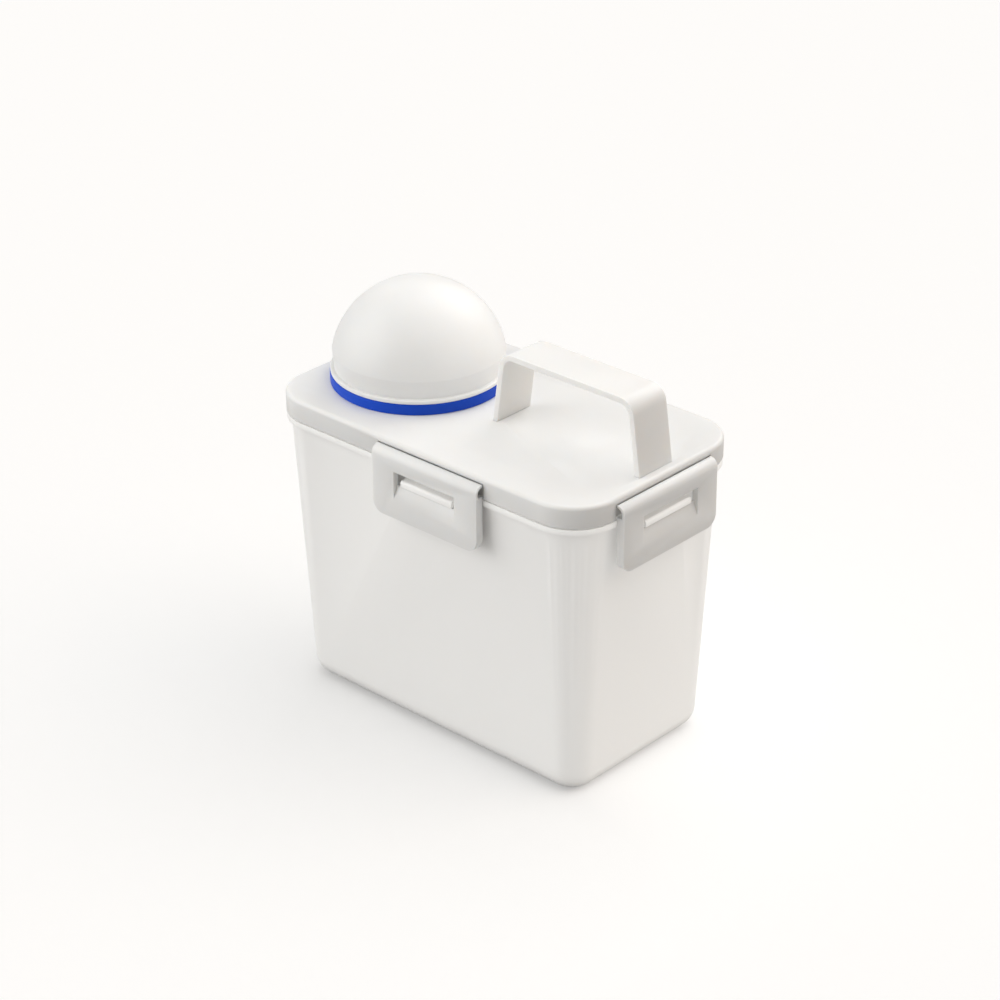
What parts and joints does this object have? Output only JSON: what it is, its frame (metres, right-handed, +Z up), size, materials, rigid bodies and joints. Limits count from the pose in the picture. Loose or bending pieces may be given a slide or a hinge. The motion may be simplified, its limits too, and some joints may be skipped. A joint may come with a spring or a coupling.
{
  "type": "laundry powder container",
  "caption": "Tall tapering storage box with a rounded snap-down lid, a strap handle, wide hinged latches, a round pouring spout and a domed measuring cup turned over it.",
  "frame": {"origin": "middle of the tub's base, on the table", "axes": "+Z up, X along the long side with the handle towards +X and the cup towards -X, front towards -Y"},
  "size_m": [0.272, 0.164, 0.2711],
  "materials": {
    "milky_plastic": "frosted, slightly translucent polypropylene",
    "white_plastic": "satin white polypropylene",
    "blue_seal": "smooth blue silicone",
    "grey_gasket": "matte silicone"
  },
  "bodies": {
    "container": {"tub": "milky_plastic", "lid": "white_plastic", "lid_gasket": "grey_gasket", "handle": "white_plastic", "cup_seal": "blue_seal"},
    "front_latch": {"front_latch": "white_plastic"},
    "back_latch": {"back_latch": "white_plastic"},
    "left_latch": {"left_latch": "white_plastic"},
    "right_latch": {"right_latch": "white_plastic"},
    "cup": {"measuring_cup": "white_plastic"}
  },
  "joints": [
    {"name": "front_latch_hinge", "type": "hinge", "parent": "container", "child": "front_latch", "pos_m": [0.012, -0.0777, 0.19695], "axis": [-1, 0, 0], "range_deg": [0, 110]},
    {"name": "back_latch_hinge", "type": "hinge", "parent": "container", "child": "back_latch", "pos_m": [0.012, 0.0777, 0.19695], "axis": [1, 0, 0], "range_deg": [0, 110]},
    {"name": "left_latch_hinge", "type": "hinge", "parent": "container", "child": "left_latch", "pos_m": [-0.1317, 0, 0.19695], "axis": [0, 1, 0], "range_deg": [0, 110]},
    {"name": "right_latch_hinge", "type": "hinge", "parent": "container", "child": "right_latch", "pos_m": [0.1317, 0, 0.19695], "axis": [0, -1, 0], "range_deg": [0, 110]},
    {"name": "cup_lift", "type": "slide", "parent": "container", "child": "cup", "axis": [0, 0, 1], "range_m": [0, 0.08]}
  ]
}
